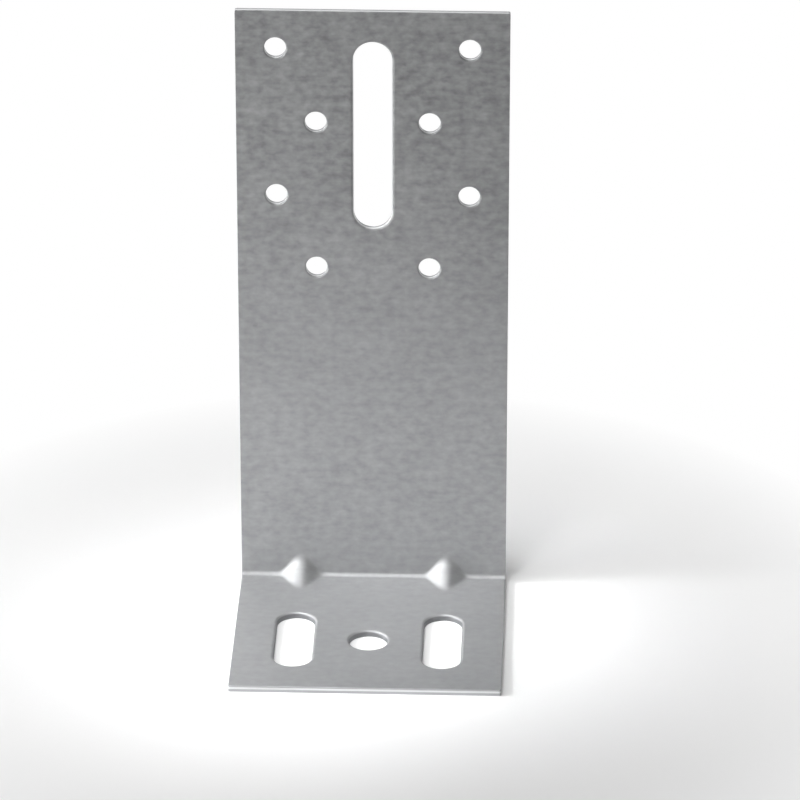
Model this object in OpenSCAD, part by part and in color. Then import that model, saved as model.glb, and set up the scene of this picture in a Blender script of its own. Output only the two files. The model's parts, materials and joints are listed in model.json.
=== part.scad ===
// Angle bracket, punched from one galvanised steel sheet and folded once.
// Millimetres, +Z up. The origin is the axis of the anchor hole, on the underside of the base.
// The base runs out towards -Y, and the upright leg stands at its +Y end.

/* [Sheet] */
// Thickness of the steel sheet
sheet_t = 1.5; // [1:0.1:2.5]
// Width of the bracket, the same on both legs
bracket_w = 60; // [54:1:100]
// Inside radius of the fold between the legs
fold_r = 1; // [0.6:0.1:3]

/* [Legs] */
// Height of the upright leg, from the underside of the base to its top edge
leg_h = 140; // [100:1:240]
// Depth of the base, from its front edge to the back of the upright leg
base_d = 54; // [52:1:90]

/* [Leg slot] */
// Width of the long slot in the upright leg
leg_slot_w = 9; // [5:0.5:12]
// Length of the long slot, over its round ends
leg_slot_l = 45; // [20:1:70]
// Metal left between the top edge and the long slot
leg_slot_top = 7; // [4:0.5:16]

/* [Nail holes] */
// Diameter of the nail holes
nail_d = 5; // [3:0.5:6]
// Number of rows of nail holes, two to a row
nail_rows = 4; // [1:1:5]
// Height between two rows of nail holes
nail_pitch = 17.5; // [10:0.5:18]
// Top edge to the first row of nail holes
nail_top = 8.75; // [6:0.25:14]
// Side edge to the nail holes of the first, third and fifth row
nail_outer_inset = 8.75; // [5:0.25:11]
// Side edge to the nail holes of the second and fourth row
nail_inner_inset = 17.5; // [13:0.25:18]

/* [Base holes] */
// Diameter of the anchor hole
anchor_d = 9; // [5:0.5:12]
// Front edge of the base to the axis of the anchor hole and to the middle of both base slots
anchor_front = 22; // [18:0.5:26]
// Width of the two base slots
base_slot_w = 9; // [5:0.5:12]
// Length of the two base slots, over their round ends
base_slot_l = 25; // [14:1:30]
// Side edge to the line that a base slot and the dart behind it share
line_inset = 13.5; // [10:0.5:16]

/* [Stiffening darts] */
// Width of a dart along the inside corner
dart_w = 11.5; // [9:0.5:14]
// How far a dart's crest runs up the leg, from the inside corner
dart_leg_reach = 4.75; // [4.25:0.25:7]
// How far a dart's crest runs out along the base, from the inside corner
dart_base_reach = 6.75; // [5:0.25:9]
// Radius in the bottom of the dent behind a dart
dent_r = 0.8; // [0.3:0.1:1.2]

/* [Hidden] */
$fn = 96;
galvanised = [0.68, 0.69, 0.70];

// A punch runs past each face of the sheet by the sheet's own thickness
punch_past = sheet_t;
punch_h = sheet_t + 2 * punch_past;

front_y = -anchor_front;
back_y = base_d - anchor_front;
leg_face_y = back_y - sheet_t;
fold_outer_r = fold_r + sheet_t;

// A dart's section lies square to its crest, with x across the dart and y out of the corner.
// Each flank runs from the corner, at dart_foot, up to its shoulder under the crest's arc.
// The arc stands a hundredth of its radius proud of both flanks, so that they meet along a clear edge.
dart_foot = dart_w / 2;
crest_r = dent_r + sheet_t;
crest_l = norm([dart_leg_reach, dart_base_reach]);
crest_centre = dart_leg_reach * dart_base_reach / crest_l - crest_r;
// The way down the crest, from the leg to the base, as a turn about x
crest_turn = atan2(dart_base_reach, -dart_leg_reach);
shoulder_r = crest_r - crest_r / 100;
foot_to_centre = norm([dart_foot, crest_centre]);
flank_l = sqrt(pow(foot_to_centre, 2) - pow(shoulder_r, 2));
flank_angle = atan2(crest_centre, -dart_foot) - asin(shoulder_r / foot_to_centre);
flank_way = [cos(flank_angle), sin(flank_angle)];
flank_inward = [-flank_way.y, flank_way.x];
// The dent's flanks run on past the outside of the fold
dent_run = 3 * fold_outer_r;
// Length of the tools that press a dart and its dent, along the crest
press_l = 4 * crest_l;

function mirrored(p) = [-p.x, p.y];

// A slot about the origin, as long as length over its round ends, along y
module slot_outline(width, length) {
    straight = length - width;
    square([width, straight], center = true);
    for (end = [-1, 1])
        translate([0, end * straight / 2])
            circle(d = width);
}

// The sheet's section after folding, with y of the bracket to the right and z up
module folded_section() {
    translate([leg_face_y, fold_outer_r])
        square([sheet_t, leg_h - fold_outer_r]);
    translate([front_y, 0])
        square([base_d - fold_outer_r, sheet_t]);
    translate([back_y - fold_outer_r, fold_outer_r])
        intersection() {
            difference() {
                circle(r = fold_outer_r);
                circle(r = fold_r);
            }
            translate([0, -fold_outer_r])
                square(fold_outer_r);
        }
}

module folded_sheet() {
    rotate([90, 0, 90])
        linear_extrude(height = bracket_w, center = true)
            folded_section();
}

// Places a punch on the upright leg, at a height, pointing through it from the back
module through_leg(x, z) {
    translate([x, back_y + punch_past, z])
        rotate([90, 0, 0])
            children();
}

module leg_slot() {
    through_leg(0, leg_h - leg_slot_top - leg_slot_l / 2)
        linear_extrude(height = punch_h)
            slot_outline(leg_slot_w, leg_slot_l);
}

module nail_holes() {
    for (row = [0 : nail_rows - 1], side = [-1, 1]) {
        inset = row % 2 == 0 ? nail_outer_inset : nail_inner_inset;
        through_leg(side * (bracket_w / 2 - inset), leg_h - nail_top - row * nail_pitch)
            cylinder(d = nail_d, h = punch_h);
    }
}

module anchor_hole() {
    translate([0, 0, -punch_past])
        cylinder(d = anchor_d, h = punch_h);
}

module base_slots() {
    for (side = [-1, 1])
        translate([side * (bracket_w / 2 - line_inset), 0, -punch_past])
            linear_extrude(height = punch_h)
                slot_outline(base_slot_w, base_slot_l);
}

// Lays a dart's section in the inside corner, and draws it out along the crest
module press_in_corner() {
    for (side = [-1, 1])
        translate([side * (bracket_w / 2 - line_inset), leg_face_y, sheet_t])
            rotate([crest_turn, 0, 0])
                linear_extrude(height = press_l, center = true)
                    children();
}

// The rounded ridge that a dart raises inside the corner
module dart_section() {
    foot = [dart_foot, 0];
    shoulder = foot + flank_l * flank_way;
    polygon([mirrored(foot), foot, shoulder, mirrored(shoulder)]);
    translate([0, crest_centre])
        circle(r = crest_r);
}

// The hollow behind the ridge, one sheet thickness inside it all over
module dent_section() {
    foot = [dart_foot, 0] + sheet_t * flank_inward - dent_run * flank_way;
    shoulder = [dart_foot, 0] + sheet_t * flank_inward + flank_l * flank_way;
    polygon([mirrored(foot), foot, shoulder, mirrored(shoulder)]);
    translate([0, crest_centre])
        circle(r = dent_r);
}

// The darts, cut off inside the thickness of both legs
module darts() {
    intersection() {
        press_in_corner() dart_section();
        translate([-bracket_w / 2, front_y, sheet_t / 2])
            cube([bracket_w, base_d - sheet_t / 2, leg_h - sheet_t]);
    }
}

module bracket() {
    color(galvanised)
        difference() {
            union() {
                folded_sheet();
                darts();
            }
            press_in_corner() dent_section();
            leg_slot();
            nail_holes();
            anchor_hole();
            base_slots();
        }
}

bracket();
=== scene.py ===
# %% [markdown]
# # An angle bracket from one sheet of galvanised steel
# The real bracket starts as a flat strip of zinc-coated sheet. A press punches its holes and shears
# its outline, folds it once, and presses two darts across the fold so that it can't be bent open.
# This lesson makes it in that same order: a flat blank, a fold, and then the zinc.

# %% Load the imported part
import json
import math
from functools import partial

import bmesh
import bpy
import numpy as np
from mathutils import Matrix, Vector
from mathutils.geometry import delaunay_2d_cdt


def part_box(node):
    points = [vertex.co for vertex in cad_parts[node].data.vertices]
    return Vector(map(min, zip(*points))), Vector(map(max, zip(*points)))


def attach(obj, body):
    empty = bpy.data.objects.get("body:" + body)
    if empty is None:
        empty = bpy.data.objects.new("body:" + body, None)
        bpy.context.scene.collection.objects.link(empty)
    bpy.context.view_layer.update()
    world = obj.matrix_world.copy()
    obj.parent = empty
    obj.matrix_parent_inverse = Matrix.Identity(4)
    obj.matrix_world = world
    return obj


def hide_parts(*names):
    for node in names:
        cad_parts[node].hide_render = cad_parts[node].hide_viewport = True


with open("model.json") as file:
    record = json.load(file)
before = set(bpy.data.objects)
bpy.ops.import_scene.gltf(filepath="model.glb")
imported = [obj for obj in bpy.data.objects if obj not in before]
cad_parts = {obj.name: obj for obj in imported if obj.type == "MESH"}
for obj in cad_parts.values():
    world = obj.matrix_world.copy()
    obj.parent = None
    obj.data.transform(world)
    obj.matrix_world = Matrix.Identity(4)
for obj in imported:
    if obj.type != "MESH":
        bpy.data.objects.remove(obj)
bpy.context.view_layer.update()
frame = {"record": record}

scene = bpy.context.scene

# %% [markdown]
# ## Sizes
# The bracket is worked out in millimetres and turned to metres when the blank is folded. Its outline
# comes from the node's box, its holes from the record's mounts. What the frame doesn't hold, the
# lengths of the slots and the radius of the fold, is named here.

# %% Read the sizes
MM = 0.001
LEG_SLOT_W = 9.0
LEG_SLOT_L = 45.0
BASE_SLOT_W = 9.0
BASE_SLOT_L = 25.0
FOLD_R = 1.0

mounts = {mount["name"]: mount for mount in frame["record"]["mounts"]}
node_low, node_high = (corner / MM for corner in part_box("bracket"))
SHEET_T = mounts["anchor_hole"]["dims"]["length_mm"]
HALF_W = node_high.x
LEG_FACE_Y = node_high.y - SHEET_T
LEG_END = node_high.z - SHEET_T
BASE_END = node_low.y - LEG_FACE_Y
print(f"sheet {SHEET_T:.2f} mm, {2 * HALF_W:.1f} mm wide")
print(f"inside the corner, leg {LEG_END:.1f} mm, base {-BASE_END:.1f} mm")

# %% [markdown]
# ## The camera
# In the photograph the leg's sides stay upright and its holes stay round, although the base is seen
# from above, as in a view camera whose picture plane is parallel to the leg. A plain camera could do
# that only with a shift of more than a whole picture. So this one has no shift: it stands further off
# with a long lens, at the place that brings all edges and holes nearest to where the photograph has them.

# %% Set up the camera
SENSOR_MM = 36.0
LENS_MM = 266.355
EYE = Vector((47.4, LEG_FACE_Y - 1188.5, 633.7))
AIM = Vector((6.0, LEG_FACE_Y, 46.2))

sight = AIM - EYE
long_lens = bpy.data.cameras.new("long_lens")
long_lens.sensor_width = SENSOR_MM
long_lens.lens = LENS_MM
long_lens.clip_start = 0.01
camera = bpy.data.objects.new("camera", long_lens)
camera.location = EYE * MM
camera.rotation_euler = sight.to_track_quat("-Z", "Y").to_euler()
scene.collection.objects.link(camera)
scene.camera = camera
print(f"lens {long_lens.lens:.1f} mm, {sight.length:.0f} mm from the leg")

# %% [markdown]
# ## The blank
# The flat blank has three coordinates: x across it, v along it and w through it. On the leg v is the
# height above the base, and on the base it is the distance out from the leg, counted downwards, so
# every hole keeps its real place. The sheet's outline and each hole are closed curves that are worked
# out for any back-off, which is how far the metal steps back there from its full outline.

# %% Outlines of the blank and its holes
CORNER_R = 0.4
CORNER_STEPS = 4
# The strip's slit sides and the leg's end back off by only this share of what the base's end does
SLIT_SHARE = 0.25
ROUND_STEPS = 28
# How far the mesh for bending reaches to each side of the inside corner
FOLD_ZONE = 11.0
FOLD_ROWS = np.linspace(-FOLD_ZONE, FOLD_ZONE, 97)
FOLD_COLUMNS = 150


def arc(x, v, radius, start, steps, sweep=math.pi / 2):
    """Points round (x, v), counted from the angle start."""
    turns = [start + sweep * step / steps for step in range(steps + 1)]
    return [(x + radius * math.cos(turn), v + radius * math.sin(turn)) for turn in turns]


def sheet_outline(back_off):
    """The blank's own edge, with a point at every row of the fold; only the base's end backs off fully."""
    slit_off = SLIT_SHARE * back_off
    side = HALF_W - CORNER_R
    top = LEG_END - CORNER_R
    bottom = BASE_END + CORNER_R
    radius = CORNER_R - slit_off
    square_corner = arc(side, bottom, radius, -math.pi / 2, CORNER_STEPS)
    base_corner = [(x, v + back_off - slit_off) for x, v in square_corner]
    right_rows = [(HALF_W - slit_off, row) for row in FOLD_ROWS]
    right_side = base_corner + right_rows + arc(side, top, radius, 0.0, CORNER_STEPS)
    return right_side + [(-x, v) for x, v in reversed(right_side)]


def hole_outline(hole, back_off):
    """A hole's edge: a slot along v with round ends, or a circle where it is as long as wide."""
    x, v, width, length = hole
    radius = width / 2 + back_off
    straight = (length - width) / 2
    far = arc(x, v + straight, radius, 0.0, ROUND_STEPS, math.pi)
    near = arc(x, v - straight, radius, math.pi, ROUND_STEPS, math.pi)
    return far + near if straight else far[:-1] + near[:-1]


def in_hole(hole, back_off, point):
    """True where a point of the blank lies inside a hole's edge."""
    x, v, width, length = hole
    straight = (length - width) / 2
    past_straight = max(abs(point.y - v) - straight, 0.0)
    return math.hypot(point.x - x, past_straight) < width / 2 + back_off


def nail_hole_places(mount):
    """The four (x, v) places of a pattern of nail holes in the leg."""
    across = mount["dims"]["spacing_x_mm"] / 2
    along = mount["dims"]["spacing_y_mm"] / 2
    middle_v = mount["pos_m"][2] / MM - SHEET_T
    return [(side * across, middle_v + row * along) for side in (-1, 1) for row in (-1, 1)]


slot_v = mounts["leg_slot"]["pos_m"][2] / MM - SHEET_T
anchor_d = 2 * mounts["anchor_hole"]["dims"]["r_mm"]
holes = [(0.0, slot_v, LEG_SLOT_W, LEG_SLOT_L), (0.0, -LEG_FACE_Y, anchor_d, anchor_d)]
for name in ("base_slot_left", "base_slot_right"):
    holes.append((mounts[name]["pos_m"][0] / MM, -LEG_FACE_Y, BASE_SLOT_W, BASE_SLOT_L))
for name in ("nail_holes_outer", "nail_holes_inner"):
    nail_d = 2 * mounts[name]["dims"]["hole_r_mm"]
    holes += [(x, v, nail_d, nail_d) for x, v in nail_hole_places(mounts[name])]
print(len(holes), "holes in the blank")

# %% [markdown]
# ## Cut edges
# A punch drags the sheet's skin down before it cuts, so the struck face has a soft rolled-over edge,
# and the far face a much smaller one. Large punches drag more than small ones, and a shear least. The
# cut wall stands a little inside the hole's full outline, with the rolled rim outside it. A bevel
# modifier would round every edge alike. Here each outline is drawn again at a few steps through the
# sheet, backing off round both edges, and joined up as a wall.

# %% Walls of the cut edges
# Radius of the rolled edge, by the tool that makes it
SHEAR_ROLLOVER = 0.25
SLOT_ROLLOVER = 0.7
NAIL_ROLLOVER = 0.4
# How far a punched wall stands inside the hole's full outline
SLOT_INSET = 0.25
NAIL_INSET = 0.1
# Radius of the far edge
BURR_R = 0.12
EDGE_STEPS = 7


def cut_edge(rollover, inset):
    """(back-off, w) through the sheet, from the struck face to the far face."""
    turns = np.linspace(0.0, math.pi / 2, EDGE_STEPS)
    struck = [(rollover * (1 - math.sin(t)), SHEET_T - rollover * (1 - math.cos(t))) for t in turns]
    far = [(BURR_R * (1 - math.cos(t)), BURR_R * (1 - math.sin(t))) for t in turns]
    return [(back_off - inset, w) for back_off, w in struck + far]


outlines = [(sheet_outline, cut_edge(SHEAR_ROLLOVER, 0.0))]
for hole in holes:
    is_nail_hole = hole[2] == nail_d
    edge = cut_edge(NAIL_ROLLOVER, NAIL_INSET) if is_nail_hole else cut_edge(SLOT_ROLLOVER, SLOT_INSET)
    outlines.append((partial(hole_outline, hole), edge))
blank = bmesh.new()
for outline, edge in outlines:
    rings = [[blank.verts.new((x, v, w)) for x, v in outline(back_off)] for back_off, w in edge]
    for ring, next_ring in zip(rings, rings[1:]):
        for i in range(len(ring)):
            blank.faces.new((ring[i - 1], ring[i], next_ring[i], next_ring[i - 1]))
print(len(blank.faces), "faces in the cut edges")

# %% [markdown]
# ## Faces of the sheet
# Each face of the blank is one flat area with twelve holes. Drawing its mesh by hand would be slow, and
# a boolean leaves long slivers, so a constrained Delaunay fill joins the outlines. Where the sheet will
# be folded, a grid of extra points gives it enough mesh to bend and to raise the darts from.

# %% Fill both faces
# The fill's own number for keeping what lies inside the outlines
INSIDE_OUTLINE = 1
WELD = 1e-4


def fill_face(ring_number):
    """Fills the struck face (first ring of the walls) or the far face (last ring) between its outlines."""
    points = []
    edges = []
    back_offs = []
    for outline, edge in outlines:
        back_off, w = edge[ring_number]
        ring = outline(back_off)
        edges += [(len(points) + i, len(points) + (i + 1) % len(ring)) for i in range(len(ring))]
        points += ring
        back_offs.append(back_off)
    side = HALF_W - SLIT_SHARE * back_offs[0]
    columns = np.linspace(-side, side, FOLD_COLUMNS + 1)[1:-1]
    points += [(x, v) for v in FOLD_ROWS for x in columns]
    flat, _, faces, *_ = delaunay_2d_cdt([Vector(p) for p in points], edges, [], INSIDE_OUTLINE, WELD)
    corners = [blank.verts.new((x, v, w)) for x, v in flat]
    for face in faces:
        middle = sum((flat[i] for i in face), Vector((0.0, 0.0))) / len(face)
        if not any(in_hole(hole, back_off, middle) for hole, back_off in zip(holes, back_offs[1:])):
            blank.faces.new([corners[i] for i in face])


fill_face(0)
fill_face(-1)
bmesh.ops.remove_doubles(blank, verts=blank.verts, dist=WELD)
bmesh.ops.recalc_face_normals(blank, faces=blank.faces)
open_edges = [edge for edge in blank.edges if not edge.is_manifold]
print(len(blank.faces), "faces in the blank,", len(open_edges), "open edges")

# %% [markdown]
# ## The fold and its darts
# Seen from the side, the inside of the fold goes down the leg, round a quarter circle and out along
# the base. Under a dart it goes down the leg, turns, runs straight across the corner along the dart's
# crest, turns again and goes out along the base. Both are the same path with another reach across the
# corner, so one formula bends the whole zone. The reach swells over each dart along a bell curve, round
# at the crest as the punch presses it and hollow at its feet, where it runs out into the plain fold.
# The outside face keeps the sheet's thickness from the inside one, and so makes the dents by itself.

# %% Shape of the fold and its darts
DART_X = [mounts[name]["pos_m"][0] / MM for name in ("base_slot_left", "base_slot_right")]
# A dart's half width at its foot, and its crest's reach up the leg and out along the base
DART_FOOT = 5.3
DART_LEG_REACH = 3.9
DART_BASE_REACH = 6.0
# How much the radius where a crest meets the leg and the base grows with the crest's reach
FILLET_GROWTH = 0.8
LEG_TURN = math.atan2(DART_BASE_REACH, DART_LEG_REACH)
BASE_TURN = math.pi / 2 - LEG_TURN
LEG_TANGENT = math.tan(LEG_TURN / 2)
BASE_TANGENT = math.tan(BASE_TURN / 2)
CREST_SIN = math.sin(LEG_TURN)
CREST_COS = math.cos(LEG_TURN)
CREST_REACH = DART_LEG_REACH * CREST_SIN
PLAIN_REACH = FOLD_R * (CREST_SIN + CREST_COS - 1)
# Step across the sheet over which its slope is measured
SLOPE_STEP = 0.01


def corner_reach(x):
    """How far the sheet's inside face stands out of the sharp corner, square to the crests, at x."""
    reach = np.full_like(x, PLAIN_REACH)
    for dart_x in DART_X:
        off_crest = np.clip(abs(x - dart_x) / DART_FOOT, 0.0, 1.0)
        reach += (CREST_REACH - PLAIN_REACH) * (1 + np.cos(math.pi * off_crest)) / 2
    return reach


def fold_path(x, v):
    """Distance out from the leg, height above the base and facing angle of the inside face."""
    reach = corner_reach(x)
    radius = FOLD_R + FILLET_GROWTH * (reach - PLAIN_REACH)
    leg_straight = FOLD_ZONE - reach / CREST_SIN - LEG_TANGENT * radius
    base_straight = FOLD_ZONE - reach / CREST_COS - BASE_TANGENT * radius
    across = reach / (CREST_SIN * CREST_COS) - (LEG_TANGENT + BASE_TANGENT) * radius
    whole = leg_straight + across + base_straight + math.pi / 2 * radius
    way = (FOLD_ZONE - v) / (2 * FOLD_ZONE) * whole
    on_leg = np.minimum(way, leg_straight)
    way = way - leg_straight
    first = np.clip(way / radius, 0.0, LEG_TURN)
    way = way - LEG_TURN * radius
    on_crest = np.clip(way, 0.0, across)
    way = way - across
    second = np.clip(way / radius, 0.0, BASE_TURN)
    on_base = np.maximum(way - BASE_TURN * radius, 0.0)
    out = radius * (1 - np.cos(first)) + on_crest * CREST_SIN + on_base
    out += radius * (CREST_COS - np.cos(LEG_TURN + second))
    fall = on_leg + radius * np.sin(first) + on_crest * CREST_COS
    fall += radius * (np.sin(LEG_TURN + second) - CREST_SIN)
    return out, FOLD_ZONE - fall, first + second


def fold(x, v, w):
    """Places of the blank's points on the folded bracket."""
    in_zone = np.clip(v, -FOLD_ZONE, FOLD_ZONE)
    out, height, angle = fold_path(x, in_zone)
    out_left, height_left, _ = fold_path(x - SLOPE_STEP, in_zone)
    out_right, height_right, _ = fold_path(x + SLOPE_STEP, in_zone)
    out_slope = (out_right - out_left) / (2 * SLOPE_STEP)
    height_slope = (height_right - height_left) / (2 * SLOPE_STEP)
    facing = np.stack([
        -out_slope * np.cos(angle) - height_slope * np.sin(angle),
        -np.cos(angle),
        np.sin(angle),
    ], axis=1)
    facing /= np.linalg.norm(facing, axis=1)[:, None]
    inside = np.stack([
        x,
        LEG_FACE_Y - out - np.maximum(-FOLD_ZONE - v, 0.0),
        SHEET_T + height + np.maximum(v - FOLD_ZONE, 0.0),
    ], axis=1)
    return inside - (SHEET_T - w)[:, None] * facing


print(f"crest {CREST_REACH:.2f} mm out of the corner, plain fold {PLAIN_REACH:.2f} mm")

# %% [markdown]
# ## Folding
# A press brake folds the real blank in one stroke. A simple-deform modifier bends too, but knows
# nothing of darts, so here every point of the blank is moved by the formula above. The flat places
# are kept, because the finish needs them.

# %% Fold the blank
sheet = bpy.data.meshes.new("folded_sheet")
blank.to_mesh(sheet)
blank.free()
flat = np.zeros(3 * len(sheet.vertices))
sheet.vertices.foreach_get("co", flat)
flat = flat.reshape(-1, 3)
folded = fold(flat[:, 0], flat[:, 1], flat[:, 2])
sheet.vertices.foreach_set("co", (folded * MM).ravel())
sheet.update()
print("folded to", folded.min(0).round(3), folded.max(0).round(3), "mm")

# %% [markdown]
# ## The bracket as a piece
# The zinc was on the strip before it was folded, so its pattern has to run round the fold unbroken.
# The flat places are therefore kept with the mesh as an attribute, for the material to read. Two more
# say how far through the sheet a point lies, and whether it lies in the base and off its outer edges,
# where the holes' walls get painted shade, a darker colour for the shade inside them. Weighted normals
# keep the flat faces flat to the eye right up to their rounded edges.

# %% Make the bracket
# Width of the outer edges, whose cut walls are left out of the painted shade on the base's hole walls
EDGE_BAND = 1.0
FLAT_FACE_WEIGHT = 80
blank_place = sheet.attributes.new("blank_place", "FLOAT_VECTOR", "POINT")
blank_place.data.foreach_set("vector", flat.ravel())
through = sheet.attributes.new("through", "FLOAT", "POINT")
through.data.foreach_set("value", flat[:, 2] / SHEET_T)
inner = (abs(flat[:, 0]) < HALF_W - EDGE_BAND) & (flat[:, 1] > BASE_END + EDGE_BAND)
# 1 on the base away from its outer edges: where the walls of the holes get painted shade
painted_shade_zone = sheet.attributes.new("painted_shade_zone", "FLOAT", "POINT")
painted_shade_zone.data.foreach_set("value", (inner & (flat[:, 1] < 0)).astype(float))
sheet.shade_smooth()
bracket = bpy.data.objects.new("folded_bracket", sheet)
scene.collection.objects.link(bracket)
weighted = bracket.modifiers.new("flat_faces", "WEIGHTED_NORMAL")
weighted.weight = FLAT_FACE_WEIGHT
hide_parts("bracket")
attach(bracket, "root")
print(len(sheet.polygons), "faces in the bracket")

# %% [markdown]
# ## Two helpers for finishes
# Colours are written as the eye knows them, in sRGB, and one function turns them to the linear values
# that a shader needs. Another adds a node with its settings and links, whatever its kind.

# %% Helpers for finishes
def linear(hex_colour):
    """An sRGB hex colour as linear red, green, blue and alpha."""
    parts = [int(hex_colour[i:i + 2], 16) / 255 for i in (1, 3, 5)]
    return [c / 12.92 if c <= 0.04045 else ((c + 0.055) / 1.055) ** 2.4 for c in parts] + [1.0]


def add(tree, kind, inputs=None, **settings):
    """Adds a node with its settings; an input is given as a value or as the socket that feeds it."""
    node = tree.nodes.new(kind)
    for name, value in settings.items():
        setattr(node, name, value)
    for socket, value in (inputs or {}).items():
        if isinstance(value, bpy.types.NodeSocket):
            tree.links.new(value, node.inputs[socket])
        else:
            node.inputs[socket].default_value = value
    return node


# %% [markdown]
# ## Zinc
# The strip is hot-dip galvanised: it runs through molten zinc, which freezes on it in small grains and
# is then rolled lightly. To the eye that is a dull grey metal, mottled in patches of about two
# millimetres, with faint clouds and streaks across the strip. Photographs of zinc would do it too, but
# noise on the flat blank runs round the fold without a seam. The grains of such a skin-passed strip are
# a few tenths of a millimetre wide, too fine to show here, so they are drawn at about one millimetre.

# %% Zinc finish
# Sizes of the pattern in mm, across, along and through the blank
GRAIN_MM = 1.1
MOTTLE_MM = (2.3, 1.7, 1.7)
CLOUD_MM = (16.0, 12.0, 12.0)
STREAK_MM = (7.0, 0.9, 1.0)
FROST_DETAIL = 2.0
# How much each of them moves the tone between the dark and the light zinc
GRAIN_SHARE = 0.06
FROST_SHARES = ((MOTTLE_MM, 0.7), (CLOUD_MM, 0.3), (STREAK_MM, 0.2))
# The pattern is fainter on the base, over these mm along the blank, and stronger up the leg
FOLD_FADE_MM = (-8.0, 12.0)
BASE_CONTRAST = 0.45
LEG_RISE_MM = (60.0, 120.0)
TOP_CONTRAST = 2.0
ZINC_DARK = "#8D8E8F"
ZINC_LIGHT = "#BFC0C1"


def frost(tree, place, size_mm):
    """Soft noise over the blank, with cells of a size in mm along x, v and w, about a middle of zero."""
    per_mm = [1 / mm for mm in size_mm]
    cells = add(tree, "ShaderNodeVectorMath", {0: place, 1: per_mm}, operation="MULTIPLY")
    noise = add(tree, "ShaderNodeTexNoise", {
        "Vector": cells.outputs["Vector"], "Scale": 1.0, "Detail": FROST_DETAIL,
    })
    return add(tree, "ShaderNodeMath", {0: noise.outputs["Fac"], 1: -0.5}, operation="ADD").outputs["Value"]


def pattern_contrast(tree, place):
    """How strong the pattern is along the blank: faint on the base and strong up the leg."""
    along = add(tree, "ShaderNodeSeparateXYZ", {"Vector": place}).outputs["Y"]
    past_fold = add(tree, "ShaderNodeMapRange", {
        "Value": along, "From Min": FOLD_FADE_MM[0], "From Max": FOLD_FADE_MM[1],
        "To Min": BASE_CONTRAST, "To Max": 1.0,
    })
    up_leg = add(tree, "ShaderNodeMapRange", {
        "Value": along, "From Min": LEG_RISE_MM[0], "From Max": LEG_RISE_MM[1],
        "To Min": 1.0, "To Max": TOP_CONTRAST,
    })
    contrast = add(tree, "ShaderNodeMath", {
        0: past_fold.outputs["Result"], 1: up_leg.outputs["Result"],
    }, operation="MULTIPLY")
    return contrast.outputs["Value"]


def zinc_tone(tree, place):
    """The zinc's colour, between the dark and the light zinc."""
    grain = add(tree, "ShaderNodeTexVoronoi", {"Vector": place, "Scale": 1 / GRAIN_MM})
    grain_tone = add(tree, "ShaderNodeSeparateColor", {"Color": grain.outputs["Color"]})
    tone = add(tree, "ShaderNodeMath", {
        0: grain_tone.outputs["Red"], 1: GRAIN_SHARE, 2: -GRAIN_SHARE / 2,
    }, operation="MULTIPLY_ADD")
    for size_mm, share in FROST_SHARES:
        tone = add(tree, "ShaderNodeMath", {
            0: frost(tree, place, size_mm), 1: share, 2: tone.outputs["Value"],
        }, operation="MULTIPLY_ADD")
    level = add(tree, "ShaderNodeMath", {
        0: tone.outputs["Value"], 1: pattern_contrast(tree, place), 2: 0.5,
    }, operation="MULTIPLY_ADD", use_clamp=True)
    zinc = add(tree, "ShaderNodeMix", {
        "Factor": level.outputs["Value"], 6: linear(ZINC_DARK), 7: linear(ZINC_LIGHT),
    }, data_type="RGBA")
    return zinc.outputs[2]


print("zinc from", ZINC_DARK, "to", ZINC_LIGHT)

# %% [markdown]
# ## Cut steel
# The zinc ends where the sheet was cut. Below the rolled-over skin a punch first shears the steel to a
# bright burnished band, and then the rest tears off duller. The burnished band's colour is partly that
# real burnish and partly a painted highlight. The walls of the holes in the base get painted shade, a
# dark colour of their own. The bands follow from how far through the sheet a point lies, so no edge
# has to be painted by hand.

# %% Cut walls
# Shares of the thickness, counted from the far face, over which one band passes into the next
ROLLOVER_ENDS = (0.86, 0.70)
FAR_SKIN_ENDS = (0.03, 0.07)
TEAR_STARTS = (0.52, 0.40)
# The burnished band's light colour is partly the real burnish and partly a painted highlight on the walls
BURNISHED_AND_HIGHLIGHT = "#E8E9EA"
TORN = "#B4B5B7"
# Painted shade: a dark colour on the walls of the base's holes, standing in for the shade inside them
SHADED_BASE_WALL = "#7E7F81"


def cut_steel(tree):
    """The colour of the cut walls, with a painted highlight in the burnished band and painted shade on the
    base's hole walls, and a mask that is 1 on them and 0 on the zinc of both faces.
    """
    depth = add(tree, "ShaderNodeAttribute", attribute_name="through").outputs["Fac"]
    shade_on_base_walls = add(tree, "ShaderNodeAttribute", attribute_name="painted_shade_zone").outputs["Fac"]
    bands = []
    for start, end in (ROLLOVER_ENDS, FAR_SKIN_ENDS, TEAR_STARTS):
        band = add(tree, "ShaderNodeMapRange", {"Value": depth, "From Min": start, "From Max": end})
        bands.append(band.outputs["Result"])
    below_rollover, off_far_face, torn = bands
    mask = add(tree, "ShaderNodeMath", {0: below_rollover, 1: off_far_face}, operation="MULTIPLY")
    # Burnished band with its painted highlight, passing into the duller torn steel
    bright = add(tree, "ShaderNodeMix", {
        "Factor": torn, 6: linear(BURNISHED_AND_HIGHLIGHT), 7: linear(TORN),
    }, data_type="RGBA")
    # Painted shade on the walls of the base's holes
    steel = add(tree, "ShaderNodeMix", {
        "Factor": shade_on_base_walls, 6: bright.outputs[2], 7: linear(SHADED_BASE_WALL),
    }, data_type="RGBA")
    return steel.outputs[2], mask.outputs["Value"]


print("cut steel from", BURNISHED_AND_HIGHLIGHT, "to", TORN, "and", SHADED_BASE_WALL, "in the base")

# %% [markdown]
# ## Galvanised sheet steel
# Zinc and bare steel are both metals, so one shader serves for both, with their colours mixed by the
# mask. Clean zinc would be fully metallic. On a bracket from stock a thin dull oxide covers it, which
# scatters part of the light, so it is somewhat less metallic and rather rough, and shows no clear image.

# %% Finish the sheet
OXIDISED_METALLIC = 0.7
OXIDISED_ROUGHNESS = 0.62


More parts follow.
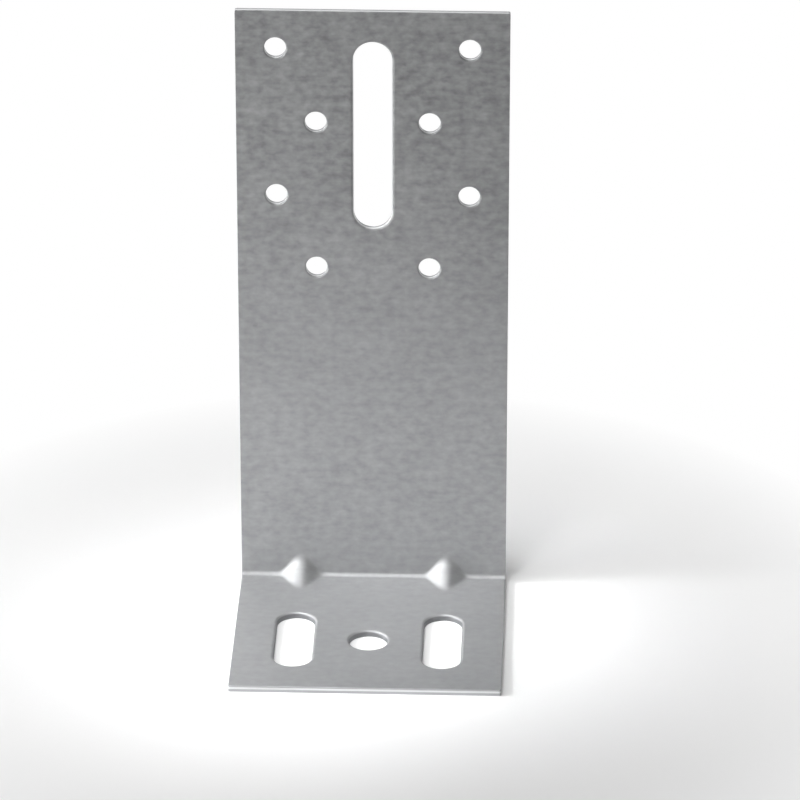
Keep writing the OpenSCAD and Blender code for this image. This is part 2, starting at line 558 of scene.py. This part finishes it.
def galvanised_sheet_steel():
    """Hot-dip galvanised steel strip, skin-passed: fine dull zinc grains."""
    material = bpy.data.materials.new("galvanised_sheet_steel")
    material.use_nodes = True
    tree = material.node_tree
    place = add(tree, "ShaderNodeAttribute", attribute_name="blank_place").outputs["Vector"]
    steel, on_cut = cut_steel(tree)
    colour = add(tree, "ShaderNodeMix", {
        "Factor": on_cut, 6: zinc_tone(tree, place), 7: steel,
    }, data_type="RGBA")
    shader = tree.nodes["Principled BSDF"]
    tree.links.new(colour.outputs[2], shader.inputs["Base Color"])
    shader.inputs["Metallic"].default_value = OXIDISED_METALLIC
    shader.inputs["Roughness"].default_value = OXIDISED_ROUGHNESS
    return material


sheet.materials.append(galvanised_sheet_steel())
print(len(sheet.materials[0].node_tree.nodes), "nodes in the finish")

# %% [markdown]
# ## Studio paper
# A catalogue picture stands on white paper that runs up behind the object. Near the bracket the paper
# is lit by the lamps alone, so it keeps the shadow. Further off it shows as plain white to the eye and
# in reflections, and lights nothing. In front it is left darker, because the leg mirrors it there, and
# the top of the leg is dark in the photograph.

# %% Paper
# Distances in metres over which the paper passes from lit to plain white
NEAR_M = 0.045
FAR_M = 0.13
# How far in front the paper is darkest, in metres, and how bright it is there
FRONT_M = -0.35
FRONT_GLOW = 0.35
PAPER_WHITE = "#F4F4F4"
PAPER_ROUGHNESS = 0.9


def matt_white_paper(name):
    """Studio paper: matt and white, lit by the lamps alone near the bracket."""
    material = bpy.data.materials.new(name)
    material.use_nodes = True
    paper = material.node_tree.nodes["Principled BSDF"]
    paper.inputs["Base Color"].default_value = linear(PAPER_WHITE)
    paper.inputs["Roughness"].default_value = PAPER_ROUGHNESS
    return material


def seen_white(material):
    """Shows paper as plain white, away from the bracket, to the eye and in reflections."""
    tree = material.node_tree
    place = add(tree, "ShaderNodeTexCoord").outputs["Object"]
    away = add(tree, "ShaderNodeVectorMath", {0: place}, operation="LENGTH").outputs["Value"]
    fade = add(tree, "ShaderNodeMapRange", {"Value": away, "From Min": NEAR_M, "From Max": FAR_M})
    ray = add(tree, "ShaderNodeLightPath")
    seen = ray.outputs["Is Camera Ray"]
    for kind in ("Is Glossy Ray", "Is Transmission Ray"):
        either = add(tree, "ShaderNodeMath", {0: seen, 1: ray.outputs[kind]}, operation="MAXIMUM")
        seen = either.outputs["Value"]
    share = add(tree, "ShaderNodeMath", {0: seen, 1: fade.outputs["Result"]}, operation="MULTIPLY")
    depth = add(tree, "ShaderNodeSeparateXYZ", {"Vector": place}).outputs["Y"]
    strength = add(tree, "ShaderNodeMapRange", {
        "Value": depth, "From Min": FRONT_M, "From Max": 0.0, "To Min": FRONT_GLOW, "To Max": 1.0,
    })
    glow = add(tree, "ShaderNodeEmission", {"Strength": strength.outputs["Result"]})
    paper = tree.nodes["Principled BSDF"].outputs["BSDF"]
    look = add(tree, "ShaderNodeMixShader", {
        "Fac": share.outputs["Value"], 1: paper, 2: glow.outputs["Emission"],
    })
    tree.links.new(look.outputs["Shader"], tree.nodes["Material Output"].inputs["Surface"])


def studio_paper(name, corners, faces):
    """A sheet of paper that belongs to the studio and not to the bracket."""
    mesh = bpy.data.meshes.new(name)
    mesh.from_pydata(corners, [], faces)
    material = matt_white_paper(name + "_paper")
    seen_white(material)
    mesh.materials.append(material)
    item = bpy.data.objects.new(name, mesh)
    scene.collection.objects.link(item)


print(f"paper plain white from {FAR_M} m, darkest {-FRONT_M} m in front")

# %% [markdown]
# ## Floor and cove
# The floor is one flat sheet. A second sheet stands round the back and both sides, far enough off for
# a camera to go round the bracket inside it, so that low views end in paper too.

# %% Lay the paper
FLOOR_HALF = 6.0
COVE_R = 4.0
COVE_H = 2.0
COVE_STEPS = 48
COVE_START = math.radians(-25)
COVE_SWEEP = math.radians(230)

floor_corners = [(x * FLOOR_HALF, y * FLOOR_HALF, 0.0) for x, y in ((-1, -1), (1, -1), (1, 1), (-1, 1))]
studio_paper("floor", floor_corners, [(0, 1, 2, 3)])
cove_line = arc(0.0, 0.0, COVE_R, COVE_START, COVE_STEPS, COVE_SWEEP)
cove_corners = [(x, y, z) for z in (0.0, COVE_H) for x, y in cove_line]
above = len(cove_line)
studio_paper("cove", cove_corners, [(i, i + 1, above + i + 1, above + i) for i in range(COVE_STEPS)])
print(f"paper floor, and a cove {COVE_R} m behind")

# %% [markdown]
# ## Light
# Three softboxes give the soft light of a small product studio: the main one at the left, low enough to
# graze the leg, a weak one at the right, and one behind. Four small lamps with grids, which keep their
# light to a narrow cone, brighten the base and the darts without reaching the rest of the leg.


# %% Set up the lamps
def softbox(name, place, target, size, power, spread=180):
    """A square soft lamp at place, turned to target, in metres; a grid narrows its spread, in degrees."""
    lamp = bpy.data.lights.new(name, "AREA")
    lamp.size = size
    lamp.energy = power
    lamp.spread = math.radians(spread)
    item = bpy.data.objects.new(name, lamp)
    item.location = place
    item.rotation_euler = (Vector(target) - Vector(place)).to_track_quat("-Z", "Y").to_euler()
    scene.collection.objects.link(item)


BASE = (0.0, 0.012, 0.0)
CORNER = (0.0, 0.02, 0.02)
DARTS = (0.0, 0.022, 0.01)
ROOM_LIGHT = 0.03
softbox("left_softbox", (-0.36, -0.16, 0.22), CORNER, 0.20, 1.35)
softbox("right_softbox", (0.30, -0.10, 0.40), CORNER, 0.25, 0.19)
softbox("back_softbox", (-0.10, 0.40, 0.45), CORNER, 0.25, 0.66)
softbox("left_spot", (-0.45, -0.02, 0.10), DARTS, 0.10, 0.021, 20)
softbox("high_left_spot", (-0.38, -0.04, 0.26), DARTS, 0.12, 0.025, 20)
softbox("front_spot", (-0.06, -0.14, 0.20), BASE, 0.08, 0.0205, 35)
softbox("top_spot", (0.0, -0.03, 0.35), BASE, 0.12, 0.0145, 25)
world = bpy.data.worlds.new("studio")
scene.world = world
world.use_nodes = True
world.node_tree.nodes["Background"].inputs["Color"].default_value = linear("#FFFFFF")
world.node_tree.nodes["Background"].inputs["Strength"].default_value = ROOM_LIGHT
scene.view_settings.view_transform = "Standard"
print(len(bpy.data.lights), "lamps")
